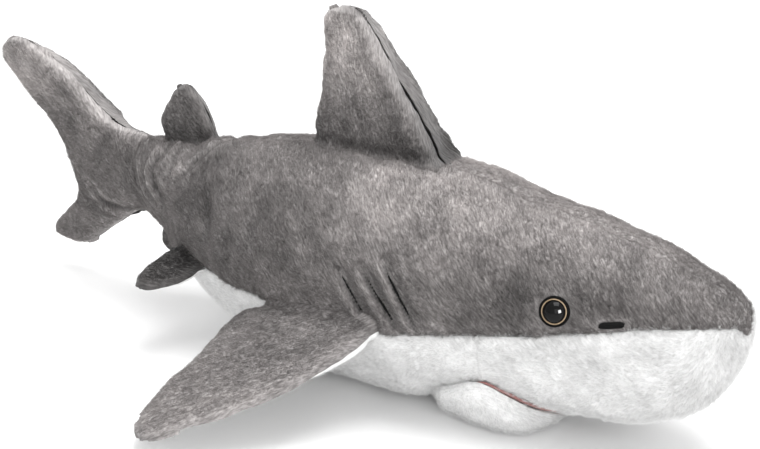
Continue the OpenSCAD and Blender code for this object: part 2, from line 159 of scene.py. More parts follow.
# The tail's outline in the middle plane, as [height, s]. Its front is open, and meets the torso.
TAIL_LEAD = np.array([
    [20.5, 482], [25, 471], [30, 463], [37, 453], [48, 438], [54, 430], [59, 419], [62.5, 410], [63.5, 403],
    [112.6, 403], [113.4, 410], [115, 425], [116.6, 434], [120, 444], [129, 457], [140, 471], [150, 487],
    [157, 501], [162, 515], [164.5, 524],
], float)
TAIL_TRAIL = np.array([
    [20.5, 496], [25, 506], [30, 506], [37, 501], [48, 489], [58, 480], [64, 478], [78, 482], [94, 488],
    [105, 497], [119, 513], [129, 523], [139, 534], [149, 542], [157, 541], [162, 536], [164.5, 529],
], float)
TAIL_FOOT, TAIL_TIP = TAIL_LEAD[0, 0], TAIL_LEAD[-1, 0]
TAIL_HALF = np.array([[389, 19], [410, 19], [430, 15], [455, 11.5], [500, 9], [546, 7]], float)
TAIL_ROUNDING = np.array([[389, 21], [430, 21], [470, 18], [546, 15]], float)
MIDDLE = {side: (np.zeros(3), np.array([0.0, side, 0.0])) for side in (LEFT, RIGHT)}  # point and direction
TAIL_BEND = (390, 432)  # ends of the blend given to the panels that cross the tail; such a panel stays in place and hangs on no body

# ---- The jaw: s, half width along the lips ----

JAW_FRONT = 93
JAW_END = 172
LIPS = np.array([[93, 7], [96, 21], [102, 33.5], [112, 45], [128, 53], [150, 47], [172, 37]], float)
JAW_BEND = (184, 150)

# ---- Places on the flank, as [s, height] ----

EYE = (88.5, 88)
EYE_LOOK = (0.18, 0.937, 0.299)
EYE_BARE = 8.2  # no pile grows this near to the middle of an eye
NOSTRIL = [(65, 84.4), (52.5, 87)]
GILLS = [[(212, 83), (192, 59)], [(198, 88.6), (175, 62)], [(186, 94.9), (162, 62)]]


# ---- Shape helpers ----

def curve(table, column, at):
    """A smooth curve through one column of a table whose first column rises. It is flat at a crest."""
    table = np.asarray(table, float)
    x, y = table[:, 0], table[:, column]
    at = np.clip(at, x[0], x[-1])
    i = np.clip(np.searchsorted(x, at, side="right") - 1, 0, len(x) - 2)
    chord = np.diff(y) / np.diff(x)
    before, after = chord[:-1], chord[1:]
    crest = before * after <= 0
    inner = np.where(crest, 0, 2 * before * after / np.where(crest, 1, before + after))
    slope = np.concatenate([chord[:1], inner, chord[-1:]])
    h = x[i + 1] - x[i]
    t = (at - x[i]) / h
    return (
        y[i] * (1 + 2 * t) * (1 - t) ** 2 + y[i + 1] * t * t * (3 - 2 * t)
        + h * slope[i] * t * (1 - t) ** 2 - h * slope[i + 1] * t * t * (1 - t)
    )


def smooth(x):
    """0 up to 0, 1 from 1, and a smooth step between."""
    x = np.clip(x, 0, 1)
    return x * x * (3 - 2 * x)


def hill(x, width):
    return np.exp(-((x / width) ** 2))


def lumps(points, size, seed, waves=14):
    """Smooth noise of about -1 to 1 whose lumps are about size wide."""
    random = np.random.default_rng(seed)
    total = np.zeros(points.shape[:-1])
    for _ in range(waves):
        direction = random.normal(size=3)
        direction *= 2 * math.pi / (size * random.uniform(0.8, 1.6)) / np.linalg.norm(direction)
        total += np.sin(points @ direction + random.uniform(0, 2 * math.pi))
    return total / math.sqrt(waves)


def unit(v):
    return v / np.maximum(np.linalg.norm(v, axis=-1, keepdims=True), 1e-9)


def normals(grid, facing):
    """Outward normals of a grid of points. facing is 1 or -1, as the grid runs."""
    return facing * unit(np.cross(np.gradient(grid, axis=0), np.gradient(grid, axis=1)))


def lengths(grid, axis):
    """How far each point of a grid is from the grid's first edge, along the surface."""
    steps = np.linalg.norm(np.diff(grid, axis=axis), axis=-1)
    start = np.zeros_like(np.take(steps, [0], axis=axis))
    return np.concatenate([start, np.cumsum(steps, axis=axis)], axis=axis)


def path_distance(path, a, b):
    """How far points (a, b) are from a path, and what share of the path lies before the nearest place."""
    path = np.asarray(path, float)
    steps = np.linalg.norm(np.diff(path, axis=0), axis=1)
    before = np.concatenate([[0], np.cumsum(steps)])
    nearest = np.full(np.shape(a), 1e9)
    share = np.zeros(np.shape(a))
    for k in range(len(path) - 1):
        run = path[k + 1] - path[k]
        t = np.clip(((a - path[k][0]) * run[0] + (b - path[k][1]) * run[1]) / (run @ run), 0, 1)
        d = np.hypot(a - path[k][0] - t * run[0], b - path[k][1] - t * run[1])
        closer = d < nearest
        nearest = np.where(closer, d, nearest)
        share = np.where(closer, (before[k] + t * steps[k]) / before[-1], share)
    return nearest, share


def fold(path, s, z, depth, width, puff):
    """A crease along a path, which fades at its ends, with the fabric puffed on both sides: how far it pushes
    the cloth, the light painted on the pile there, as painted shade in the crease and painted light on the
    puffs, and how long the pile is."""
    d, share = path_distance(path, s, z)
    fade = np.sqrt(np.clip(np.sin(math.pi * (0.04 + 0.92 * share)), 0, 1))
    beside = d - 2.6 * width
    pinch = fade * min(depth, 2.4)
    push = fade * (puff * hill(beside, 1.7 * width) - depth * hill(d, width))
    # painted shade in the crease, painted light on the puffed sides
    painted_crease_light = 1 - 0.31 * pinch * hill(d, width) + 0.14 * puff * fade * hill(beside, width)
    length = 1 - 0.33 * pinch * hill(d, 1.4 * width)
    return push, painted_crease_light, length


def gill(path, s, z):
    """A sewn slit, as fold() gives it. The fabric dips in front of it and is raised behind it. The pile gets
    painted shade in the slit and in the dip, and painted light on the raised lip.
    """
    d, share = path_distance(path, s, z)
    (s_top, z_top), (s_low, z_low) = path
    behind = np.where((s - s_low) * (z_top - z_low) - (z - z_low) * (s_top - s_low) > 0, d, -d)
    fade = np.clip(np.sin(math.pi * (0.07 + 0.86 * share)), 0, 1) ** 0.4 * hill(np.maximum(d - 6, 0), 6)
    push = fade * (1.9 * hill(behind - 3.6, 2.8) - 1.2 * hill(behind + 4.5, 3.5) - 2.6 * hill(d, 1.5))
    # painted shade in the slit and the dip in front, painted light on the raised lip behind
    painted_crease_light = 1 - fade * (0.9 * hill(d, 1.3) + 0.34 * hill(behind + 4, 3.5) - 0.14 * hill(behind - 3.5, 2.0))
    length = 1 - fade * (0.75 * hill(d, 2.6))
    return push, painted_crease_light, length


# ---- The body's surface ----

def section(column, s):
    return curve(SECTIONS, column, s)


def half_height(s, upper):
    """Height of a section above its widest point where upper is true, and depth below it elsewhere."""
    widest = section(WIDEST, s)
    return np.where(upper, section(TOP, s) - widest, widest - section(BOTTOM, s))


def bulge(share):
    """Share of a section's half height or half width at a share of the other one."""
    return np.clip(1 - np.abs(share) ** POWER, 0, 1) ** (1 / POWER)


def seam_angle(s):
    """Angle round a section at the seam of grey and white: 0 is the widest point, and 90 is the ridge."""
    rise = section(SEAM, s) - section(WIDEST, s)
    share = np.minimum((np.abs(rise) / half_height(s, rise >= 0)) ** (POWER / 2), 1)
    angle = np.sign(rise) * np.degrees(np.arcsin(share))
    narrowing = smooth((s - WHITE_NARROWS) / (WHITE_END - WHITE_NARROWS))
    return angle + (-90 - angle) * narrowing


def body_grid(s, angle, depth):
    """Points of the body at depth under the tips of the pile. Angles past 90 or -90 are on the other side."""
    angle = np.radians(angle)
    d = depth * s / (s + 4)
    widest = section(WIDEST, s)
    half = np.maximum(section(WIDTH, s) - d, 0.15)
    rise = np.maximum(half_height(s, np.sin(angle) >= 0) - d, 0.15)
    y = half * np.sign(np.cos(angle)) * np.abs(np.cos(angle)) ** (2 / POWER)
    z = widest + rise * np.sign(np.sin(angle)) * np.abs(np.sin(angle)) ** (2 / POWER)
    x = NOSE_X - s - 0.4 * depth * np.clip(1 - s / 20, 0, 1)
    return np.stack([x, y, np.maximum(z, REST_HEIGHT)], axis=-1)


def flank_point(spot, side, depth=0.0):
    """A point of the body at a place on the flank."""
    s, z = spot
    rise = z - section(WIDEST, s)
    y = section(WIDTH, s) * bulge(rise / half_height(s, rise > 0)) - depth
    return np.array([NOSE_X - s, side * y, z])


def underside(s, y):
    widest = section(WIDEST, s)
    return widest - (widest - section(BOTTOM, s)) * bulge(y / section(WIDTH, s))


def stations(start, end):
    """Rows along the body, closer together at the nose, the gills and the tail."""
    rows = [start]
    while rows[-1] < end:
        s = rows[-1]
        step = min(0.3 + 0.09 * s, 1.9)
        if 155 < s < 220 or s > 345:
            step = 1.2
        rows.append(s + step)
    rows[-1] = end
    return np.array(rows)


# Soft folds of the stuffed body, each a path on the flank with its depth, width and puffed sides
FOLDS = [
    ([(339, 127), (351, 113), (361, 98)], 2.6, 1.9, 1.3),
    ([(376, 114), (371, 106), (371, 97)], 2.8, 2.2, 1.4),
    ([(384, 114), (389, 104), (388, 97), (383, 91), (374, 86)], 3.4, 2.2, 1.8),
    ([(398, 104), (397, 95), (392, 87), (383, 80)], 3.0, 2.2, 1.6),
    ([(407, 96), (403, 86), (393, 77)], 2.6, 2.0, 1.4),
    ([(330, 104), (322, 84), (326, 62)], 1.0, 5.0, 0.5),
    ([(306, 112), (300, 92), (304, 70)], 0.9, 6.0, 0.5),
    ([(285, 100), (279, 80)], 0.8, 6.0, 0.4),
    ([(343, 96), (340, 78)], 0.8, 4.0, 0.4),
    ([(246, 112), (238, 96)], 0.6, 6.0, 0.3),
]
TAIL_FOLDS = [
    ([(459, 72), (449, 64), (438, 61), (425, 60)], 3.0, 2.0, 1.4),
    ([(416, 98), (422, 88), (420, 76)], 1.1, 3.0, 0.6),
    ([(437, 112), (446, 104), (450, 92)], 0.9, 4.0, 0.5),
    ([(468, 120), (478, 112)], 0.7, 4.0, 0.3),
]

# Darker patches of the pile: s, height, radius, how much darker
PATCHES = [
    (272, 104, 15, 0.34), (172, 114, 10, 0.26), (112, 91, 13, 0.34), (300, 66, 20, 0.22),
    (235, 118, 16, 0.20), (334, 100, 24, 0.42), (470, 127, 18, 0.26), (398, 92, 22, 0.34),
    (202, 72, 14, 0.20), (340, 62, 12, 0.24), (84, 90, 15, 0.26), (62, 96, 14, 0.20), (250, 84, 14, 0.14),
]


def patch_tone(s, z, points):
    """Brightness of the pile, about 1, from the patches and from broad mottling."""
    dark = sum(depth * hill(np.hypot(s - ps, z - pz), radius) for ps, pz, radius, depth in PATCHES)
    return 1 - dark + 0.07 * lumps(points, 34, 5) + 0.05 * lumps(points, 11, 6)


def painted_height_light(s, z):
    """Painted light: the pile is painted lighter towards the ridge, as if lit from above, less so behind the
    big fin, and darker low down on the head.
    """
    low = 0.90 - 0.16 * smooth((175 - s) / 60)
    return low + 0.62 * smooth((z - 84) / 42) * (1 - 0.8 * smooth((s - 205) / 50))


def relief(points, seed):
    """How the stuffing pushes the cloth about, without any fold."""
    return 0.8 * lumps(points, 30, seed) + 0.32 * lumps(points, 10, seed + 1)


def tufts(u, v, seed):
    """The pile's own roughness on the cloth: short ridges along the nap."""
    stretched = np.stack([u * 1.9, v * 0.75, 0 * u], axis=-1)
    return lumps(stretched, 8, seed, waves=24)


# ---- Meshes ----

def make_mesh(name, points, faces):
    mesh = bpy.data.meshes.new(name)
    mesh.from_pydata((np.asarray(points) * MM).tolist(), [], faces)
    mesh.update()
    mesh.polygons.foreach_set("use_smooth", [True] * len(mesh.polygons))
    piece = bpy.data.objects.new(name, mesh)
    bpy.context.scene.collection.objects.link(piece)
    return piece


def grid_quads(rows, columns, start=0, flip=False, ring=False, closed=False):
    """Faces of a grid of points. ring joins its last column to its first, and closed its last row."""
    index = start + np.arange(rows * columns).reshape(rows, columns)
    if ring:
        index = np.concatenate([index, index[:, :1]], axis=1)
    if closed:
        index = np.concatenate([index, index[:1]])
    quads = np.stack([index[:-1, :-1], index[1:, :-1], index[1:, 1:], index[:-1, 1:]], axis=-1)
    return quads.reshape(-1, 4)[:, :: -1 if flip else 1].tolist()


def rim_quads(rows, columns, flip):
    """Faces that join the edge of an outer grid to the edge of the inner grid after it."""
    index = np.arange(rows * columns).reshape(rows, columns)
    a = np.concatenate([index[0], index[1:, -1], index[-1, -2::-1], index[-2:0:-1, 0]])
    b = np.roll(a, -1)
    quads = np.stack([a, b, b + index.size, a + index.size], axis=1)
    return quads[:, :: -1 if flip else 1].tolist()


def sheet(name, outer, inner, flip):
    """A closed sheet between two grids of points. The points of the outer grid come first."""
    rows, columns = outer.shape[:2]
    faces = grid_quads(rows, columns, 0, flip)
    faces += grid_quads(rows, columns, rows * columns, not flip)
    faces += rim_quads(rows, columns, flip)
    return make_mesh(name, np.concatenate([outer.reshape(-1, 3), inner.reshape(-1, 3)]), faces)


def nap_map(along, across, nap, facing):
    """The pile's map: v runs along the nap and u across it. nap is the pile's direction, as its parts down
    the grid's rows and across its columns."""
    return facing * (nap[1] * along - nap[0] * across), nap[0] * along + nap[1] * across


def keep_beyond(points, plane, gap):
    """Moves the points that are nearer than gap to a plane, or past it, away to that gap."""
    origin, outward = plane
    return points + outward * np.maximum(gap - (points - origin) @ outward, 0)[..., None]


def paint(piece, nap_uv, tone, density, reach):
    """Gives a mesh of cloth its nap map and tone, and its pile's density and length, from grids over its
    outer points. The inner points, if any, follow in the same order and grow no pile."""
    corner = np.zeros(len(piece.data.loops), int)
    piece.data.loops.foreach_get("vertex_index", corner)
    corner = corner % tone.size
    flat = np.stack([part.ravel() for part in nap_uv], axis=1)[corner] / 10
    piece.data.uv_layers.new(name="nap").uv.foreach_set("vector", flat.astype(np.float32).ravel())
    shade = np.clip(tone, 0, 2).ravel()[corner] / 2
    colour = np.stack([shade, shade, shade, np.ones_like(shade)], axis=1)
    attribute = piece.data.color_attributes.new("tone", "BYTE_COLOR", "CORNER")
    attribute.data.foreach_set("color", colour.astype(np.float32).ravel())
    for group_name, weights in (("pile", density), ("pile_length", reach)):
        group = piece.vertex_groups.new(name=group_name)
        levels = np.round(np.clip(1.0 * weights, 0, 1).ravel() * 20).astype(int)
        for level in np.unique(levels):
            group.add(np.nonzero(levels == level)[0].tolist(), level / 20, "REPLACE")


def cloth_panel(name, grid, facing, nap_uv, tone, bare, short=1, plane=None, edge=None):
    """A closed panel of cloth under a grid of points. bare is where no pile grows, and short is its length.
    The cloth stays on its own side of a plane, given as a point and an outward direction, and thins out at a
    free edge, given as the distance from it."""
    if plane:
        grid = keep_beyond(grid, plane, 0.1)
    thickness = SKIN if edge is None else SKIN * (0.06 + 0.94 * smooth(edge / 6))[..., None]
    inner = grid - normals(grid, facing) * thickness
    if plane:
        inner = keep_beyond(inner, plane, 0.05)
    inner[..., 2] = np.maximum(inner[..., 2], REST_HEIGHT)
    piece = sheet(name, grid, inner, facing < 0)
    paint(piece, nap_uv, tone, 1 - bare, np.broadcast_to(short, tone.shape))
    piece["area"] = panel_area(grid)
    return piece


def panel_area(grid):
    crossed = np.cross(np.diff(grid, axis=0)[:, :-1], np.diff(grid, axis=1)[:-1])
    return float(np.linalg.norm(crossed, axis=-1).sum())


# ---- Materials ----

def new_material(name):
    material = bpy.data.materials.new(name)
    material.use_nodes = True
    tree = material.node_tree
    return material, tree, tree.nodes["Principled BSDF"]


def feed(tree, node, values):
    """Sets inputs of a node to values, or links them to sockets."""
    for key, value in values.items():
        if isinstance(value, bpy.types.NodeSocket):
            tree.links.new(value, node.inputs[key])
        else:
            node.inputs[key].default_value = value


def add_node(tree, kind, values=None, **settings):
    made = tree.nodes.new("ShaderNode" + kind)
    for key, value in settings.items():
        setattr(made, key, value)
    feed(tree, made, values or {})
    return made


def ramp(tree, factor, stops):
    """A colour ramp. A stop's colour is a triple, or one number for a grey."""
    made = add_node(tree, "ValToRGB", {"Fac": factor})
    elements = made.color_ramp.elements
    while len(elements) < len(stops):
        elements.new(0.5)
    for element, (place, colour) in zip(elements, stops):
        element.position = place
        element.color = (*np.broadcast_to(colour, 3).tolist(), 1)
    return made.outputs["Color"]


def multiply(tree, a, b):
    made = add_node(tree, "Mix", {0: 1.0, 6: a, 7: b}, data_type="RGBA", blend_type="MULTIPLY")
    return made.outputs[2]


def bump(tree, height, distance, strength):
    made = add_node(tree, "Bump", {"Height": height, "Distance": distance, "Strength": strength})
    return made.outputs["Normal"]


def nap_noise(tree, across, along, detail=2.0):
    """Noise over the nap map, stretched along the pile. Sizes are in millimetres."""
    where = add_node(tree, "UVMap", uv_map="nap").outputs["UV"]
    mapped = add_node(tree, "Mapping", {"Vector": where, "Scale": (10 / across, 10 / along, 1)})
    noise = add_node(
        tree, "TexNoise",
        {"Vector": mapped.outputs["Vector"], "Scale": 1.0, "Detail": detail, "Roughness": 0.6},
        noise_dimensions="2D",
    )
    return noise.outputs["Fac"]


def pile_colour(tree, dark, middle, light, cloud):
    """The pile's colour: streaks of tufts, broader clouds, and the panel's own tone."""
    streaks = ramp(tree, nap_noise(tree, 1.1, 4.4), [(0.28, dark), (0.50, middle), (0.74, light)])
    clouds = ramp(tree, nap_noise(tree, 12, 22, 1.0), [(0.3, 1 - cloud), (0.7, 1 + cloud)])
    tone = add_node(tree, "Attribute", attribute_name="tone")
    toned = multiply(tree, multiply(tree, streaks, clouds), tone.outputs["Color"])
    doubled = add_node(tree, "VectorMath", {0: toned, 1: (2.0, 2.0, 2.0)}, operation="MULTIPLY")
    return doubled.outputs["Vector"]


def cloth_material(name, sheen, **colours):
    """The cloth under the pile, which also carries the look of the pile where no strand stands."""
    material, tree, shader = new_material(name)
    feed(tree, shader, {
        "Base Color": pile_colour(tree, **colours),
        "Roughness": 0.95,
        "Specular IOR Level": 0.15,
        "Sheen Weight": sheen,
        "Sheen Roughness": 0.6,
        "Normal": bump(tree, nap_noise(tree, 1.1, 4.5, 3.0), 0.0011, 0.85),
    })
    return material


def pile_material(name, root, **colours):
    """The strands of the pile: dark at the root, light at the tip, and a little translucent."""
    material, tree, shader = new_material(name)
    strand = add_node(tree, "HairInfo")
    shade = ramp(tree, strand.outputs["Intercept"], [(0.0, root), (0.55, 0.9), (1.0, 1.12)])
    each = ramp(tree, strand.outputs["Random"], [(0.0, 0.80), (1.0, 1.14)])
    colour = multiply(tree, multiply(tree, pile_colour(tree, **colours), shade), each)
    feed(tree, shader, {"Base Color": colour, "Roughness": 0.7, "Specular IOR Level": 0.25})
    glow = add_node(tree, "BsdfTranslucent", {"Color": colour})
    both = add_node(tree, "MixShader", {0: 0.3, 1: shader.outputs[0], 2: glow.outputs[0]})
    feed(tree, tree.nodes["Material Output"], {"Surface": both.outputs[0]})
    return material


def fine_material(name, colour_a, colour_b, size, roughness, bump_height, **sockets):
    """A plain material with fine mottling and relief, on object coordinates. size is in millimetres."""
    material, tree, shader = new_material(name)
    where = add_node(tree, "TexCoord").outputs["Object"]
    noise = add_node(
        tree, "TexNoise", {"Vector": where, "Scale": 1000 / size, "Detail": 4.0, "Roughness": 0.6}
    ).outputs["Fac"]
    feed(tree, shader, {
        "Base Color": ramp(tree, noise, [(0.35, colour_a), (0.65, colour_b)]),
        "Roughness": roughness,
        "Normal": bump(tree, noise, bump_height * MM, 0.6),
    })
    feed(tree, shader, {socket.replace("_", " "): value for socket, value in sockets.items()})
    return material


GREY = dict(dark=(0.190, 0.176, 0.172), middle=(0.300, 0.281, 0.276), light=(0.430, 0.406, 0.399), cloud=0.12)
WHITE = dict(dark=(0.81, 0.808, 0.805), middle=(0.88, 0.88, 0.877), light=(0.94, 0.94, 0.94), cloud=0.04)

grey_cloth = cloth_material("grey_cloth", **GREY, sheen=0.25)
grey_pile = pile_material("grey_pile", **GREY, root=0.42)
white_cloth = cloth_material("white_cloth", **WHITE, sheen=0.15)
white_pile = pile_material("white_pile", **WHITE, root=0.80)
felt = fine_material("felt", (0.30, 0.13, 0.12), (0.46, 0.22, 0.20), 0.8, 0.95, 0.3, Sheen_Weight=0.4)
eye_black = fine_material("eye_black", 0.001, 0.002, 3.0, 0.04, 0.002, Specular_IOR_Level=0.14)
ring_tan = fine_material("ring_tan", (0.30, 0.215, 0.13), (0.42, 0.31, 0.20), 1.5, 0.4, 0.05)
# partly painted shade: the black rim reaches out over the shade that the pile casts round the eye
rim_black_and_shade = fine_material("rim_black_and_shade", 0.002, 0.006, 1.5, 0.8, 0.1, Specular_IOR_Level=0.1)
washer_white = fine_material("washer_white", 0.50, 0.62, 2.0, 0.45, 0.05)
thread_dark = fine_material("thread_dark", 0.004, 0.014, 0.35, 0.9, 0.2, Specular_IOR_Level=0.1)


# ---- Pile ----

PILES = {
    "grey": dict(parents=0.30, children=13, rise=1.8, lean=1.9, clump=0.38),
    "white": dict(parents=0.20, children=15, rise=2.8, lean=2.6, clump=0.5),
}
GROWTH = 4  # Blender lengthens a strand's first speed by this much
FRIZZ = 0.0008


def grow_pile(piece, kind, seed, scale=1.0):
    """Strands over a panel's outer face, combed along the nap and clumped in tufts."""
    look = PILES[kind]
    system = piece.modifiers.new("pile", "PARTICLE_SYSTEM").particle_system
    system.seed = seed
    system.vertex_group_density = "pile"
    system.vertex_group_length = "pile_length"
    settings = dict(
        type="HAIR", use_advanced_hair=True, count=int(piece["area"] * look["parents"]),
        emit_from="FACE", distribution="RAND", use_emit_random=True,
        normal_factor=look["rise"] * scale * MM / GROWTH,
        tangent_factor=look["lean"] * scale * MM / GROWTH,
        tangent_phase=1.0, factor_random=0.8 * MM / GROWTH, length_random=0.35, hair_step=4, render_step=3,
        child_type="INTERPOLATED", rendered_child_count=look["children"],
        clump_factor=look["clump"], clump_shape=0.1,
        roughness_1=FRIZZ, roughness_1_size=0.004, roughness_2=FRIZZ, roughness_2_size=0.002,
        roughness_endpoint=FRIZZ, tip_radius=0.35, radius_scale=0.075 * MM, material=2,
    )
    for key, value in settings.items():
        setattr(system.settings, key, value)


def finish_panel(piece, kind, nodes, seed, body=None, blend=None, scale=1.0):
    cloth, pile = (grey_cloth, grey_pile) if kind == "grey" else (white_cloth, white_pile)
    piece.data.materials.append(cloth)
    piece.data.materials.append(pile)
    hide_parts(*nodes)
    if blend:
        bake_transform(piece)
    else:
        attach(piece, body)
    grow_pile(piece, kind, seed, scale)


def finish_part(piece, material, node, body):
    """Gives a piece that isn't plush its material, and hangs it on its body."""
    piece.data.materials.append(material)
    if node:
        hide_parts(node)
    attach(piece, body)


# ---- Torso ----

TORSO_TAIL = (("torso", "tail"), (NOSE_X - TAIL_BEND[0], 0, 90), (NOSE_X - TAIL_BEND[1], 0, 90))
FLANK_NAP = (0.545, 0.839)  # back and up
WHITE_NAP = (0.6, 0.8)  # back, and up from the middle of the belly


def dive(s):
    """How far the torso's cloth goes under the tail's."""
    return 2.4 * smooth((s - TAIL_START) / 9)


def back_panel(side):
    """One grey side of the head and body, from the white seam up to the ridge."""
    s = stations(0, TORSO_END)[:, None]
    share = np.linspace(0, 1, 76)[None, :]
    low = seam_angle(s)
    angle = low + (90 - low) * share
    grid = body_grid(s + 0 * angle, angle, PILE)
    grid[..., 1] *= side
    normal = normals(grid, side)
    across = lengths(grid, 1)
    height = grid[..., 2]
    rows = s + 0 * height
    push = relief(grid, 11 + side) * smooth(s / 20)
    push += 0.4 * hill(across - 6, 3.5) - 1.0 * hill(across, 2.2) - 0.7 * hill(across[:, -1:] - across, 2.0)
    marks = [fold(path, rows, height, depth, width, puff) for path, depth, width, puff in FOLDS]
    marks += [gill(path, rows, height) for path in GILLS]
    marks.append(fold(NOSTRIL, rows, height, 1.0, 1.2, 0.4))
    push += sum(mark[0] for mark in marks)
    eye = np.hypot(rows - EYE[0], height - EYE[1])
    push += 0.9 * hill(eye - 15, 5) - 1.0 * hill(eye, 9) - dive(rows)
    nap_uv = nap_map(lengths(grid, 0), across, FLANK_NAP, side)
    push += 0.22 * tufts(*nap_uv, 31)
    grid = grid + normal * push[..., None]
    # painted light: lighter towards the ridge, as if lit from above
    tone = patch_tone(rows, height, grid) * painted_height_light(rows, height)
    short = smooth((eye - 7) / 8) * 0.75 + 0.25
    # painted shade in the folds, slits and nostril crease, painted light on their puffed sides
    tone = tone * math.prod(painted_crease_light for _, painted_crease_light, _ in marks)
    short = short * math.prod(length for _, _, length in marks)
    bare = (eye < EYE_BARE) | (rows > TAIL_SHOWS + 1)
    for path, clear in [(path, 1.2) for path in GILLS] + [(NOSTRIL, 2.6)]:
        bare = bare | (path_distance(path, rows, height)[0] < clear)
    tone = tone * (1 - 0.08 * hill(across, 2.5))
    name = SIDE_NAMES[side]
    piece = cloth_panel("back_" + name, grid, side, nap_uv, tone, bare, short)
    nodes = ["back_panel_" + name, "torso_stuffing"]
    finish_panel(piece, "grey", nodes, 100 + side, blend=TORSO_TAIL)


def under_panel(name, start, end, node, seed, **hung):
    """A white panel under the body, from seam to seam. hung is its body, or a blend across a joint, and a
    panel given a blend stays where it is made and hangs on no body.
    """
    s = stations(start, end)[:, None]
    share = np.linspace(0, 1, 110)[None, :]
    high = seam_angle(s)
    angle = -180 - high + (180 + 2 * high) * share
    grid = body_grid(s + 0 * angle, angle, PILE * 0.9)
    normal = normals(grid, 1)
    across = lengths(grid, 1)
    other = across[:, -1:] - across
    edge = np.minimum(across, other)
    rows = s + 0 * edge
    push = relief(grid, 51) * smooth(s / 20) * 0.8
    push += 0.5 * hill(edge - 6, 3.5) - 0.9 * hill(edge, 2.2) - dive(rows)
    right_nap = nap_map(lengths(grid, 0), other, WHITE_NAP, -1)
    left_nap = nap_map(lengths(grid, 0), across, WHITE_NAP, 1)
    nap_uv = [np.where(across < other, *pair) for pair in zip(right_nap, left_nap)]
    push += 0.2 * tufts(*nap_uv, 33)
    grid = grid + normal * push[..., None]
    grid[..., 2] = np.maximum(grid[..., 2], REST_HEIGHT)
    tone = (1 + 0.03 * lumps(grid, 25, 8)) * (1 - 0.06 * smooth((50 - rows) / 40))
    in_mouth = (rows > MOUTH_BARE[0]) & (rows < MOUTH_BARE[1])
    in_mouth = in_mouth & (np.abs(grid[..., 1]) < curve(LIPS, 1, rows) - 3)
    piece = cloth_panel(name, grid, 1, nap_uv, tone, in_mouth)
    finish_panel(piece, "white", [node], seed, **hung)


# ---- Jaw and mouth ----

SLIT = 1.0  # height of the mouth's slit
LIP_ROUND = 6.5  # over this much of its width the jaw's edge rounds off
FELT = 0.7  # thickness of the mouth's lining


def jaw_heights(s, share):
    """Top and bottom of the jaw pad at a share of its half width."""
    half = curve(LIPS, 1, s)
    closing = smooth((s - 122) / 18)
    top = underside(s, np.abs(share) * half) - SLIT * (1 - closing) + 5 * closing
    lip = underside(s, half) - SLIT - 5
    rest = 0.9 + 12 * smooth((s - 158) / 14)
    front = 5 * np.clip(1 - (s - JAW_FRONT) / 9, 0, 1)
    bottom = np.minimum(lip - (lip - front - rest) * (1 - np.abs(share) ** 5), top - 0.6)
    return top, np.maximum(bottom, rest)


def jaw():
    """The white pad of the lower jaw, a closed loop of cloth round each section."""
    front_rows = JAW_FRONT + 9 * np.linspace(0, 1, 14) ** 2
    s = np.concatenate([front_rows, np.arange(103.5, JAW_END + 0.1, 1.5)])[:, None]
    turns = 120
    turn = 2 * math.pi * np.arange(turns + 1)[None, :] / turns
    share = -np.cos(turn)
    half = curve(LIPS, 1, s)
    top, bottom = jaw_heights(s, share)
    middle, thick = (top + bottom) / 2, (top - bottom) / 2
    inward = np.clip((1 - np.abs(share)) * half / LIP_ROUND, 0, 1)
    thick = thick * np.sqrt(1 - (1 - inward) ** 2)
    lift = -np.sign(np.round(np.sin(turn), 9))
    z = middle + thick * lift * (0.15 + 0.85 * smooth((s - JAW_FRONT) / 6))
    grid = np.stack([NOSE_X - s + 0 * z, share * half, z], axis=-1)
    normal = normals(grid, 1)
    push = 0.5 * lumps(grid, 22, 61) + 0.2 * tufts(share * half, s + 0 * share, 35)
    upper = np.sin(turn) < 0
    roll = 4.5 * smooth((np.abs(share) - 0.45) / 0.3) * smooth((middle + 2 - z) / 6) * smooth((s - 98) / 14)
    push = np.where(upper, 0, push + roll * smooth((168 - s) / 14)) - 0.8
    grid = grid + normal * push[..., None]
    grid[..., 2] = np.maximum(grid[..., 2], REST_HEIGHT)
    grid[:, -1] = grid[:, 0]
    points = grid[:, :-1]
    rows, ring = points.shape[:2]
    faces = grid_quads(rows, ring, ring=True)
    faces.append(tuple(range(ring)))
    faces.append(tuple((rows - 1) * ring + j for j in reversed(range(ring))))
    piece = make_mesh("jaw", points.reshape(-1, 3), faces)
    back = np.broadcast_to(s, (rows, ring))
    furry = ~upper[:, :-1] & (back < 170)
    paint(piece, (lengths(grid, 1)[:, :-1], back), np.ones((rows, ring)), furry, furry)
    piece["area"] = panel_area(grid) / 2
    start, end = ((NOSE_X - place, 0, 10) for place in JAW_BEND)
    finish_panel(
        piece, "white", ["jaw_panel", "jaw_stuffing"], 131,
        blend=(("torso", "lower_jaw"), start, end), scale=0.8,
    )


def mouth_felt(name, node, body, lift, trim):
    """A thin sheet of felt on the roof or on the floor of the mouth."""
    s = np.linspace(JAW_FRONT + 1.5, 136, 36)[:, None]
    share = np.linspace(-1, 1, 61)[None, :]
    half = curve(LIPS, 1, s) - trim
    y = share * half
    top = underside(s, y) + lift
    grid = np.stack([NOSE_X - s + 0 * y, y, top], axis=-1)
    grid[..., 2] += 0.15 * lumps(grid, 9, 71)
    piece = sheet(name, grid, grid - np.array([0, 0, FELT]), True)
    finish_part(piece, felt, node, body)


# ---- Fins ----

def fin_frame(fin, side):
    """The fin's own axes: a point of its plane is origin + back * p + out * q + normal * t."""
    front, rear, aim = (
        np.array([NOSE_X - place[0], place[1] * side, place[2]], float)
        for place in (fin["front"], fin["rear"], fin["aim"])
    )
    back = unit(rear - front)
    out = unit(aim - front - ((aim - front) @ back) * back)
    normal = unit(np.cross(back, out)) * side
    return front, back, out, normal


def edge_points(edge, out):
    return np.stack([curve(edge, 1, out), out], axis=1)


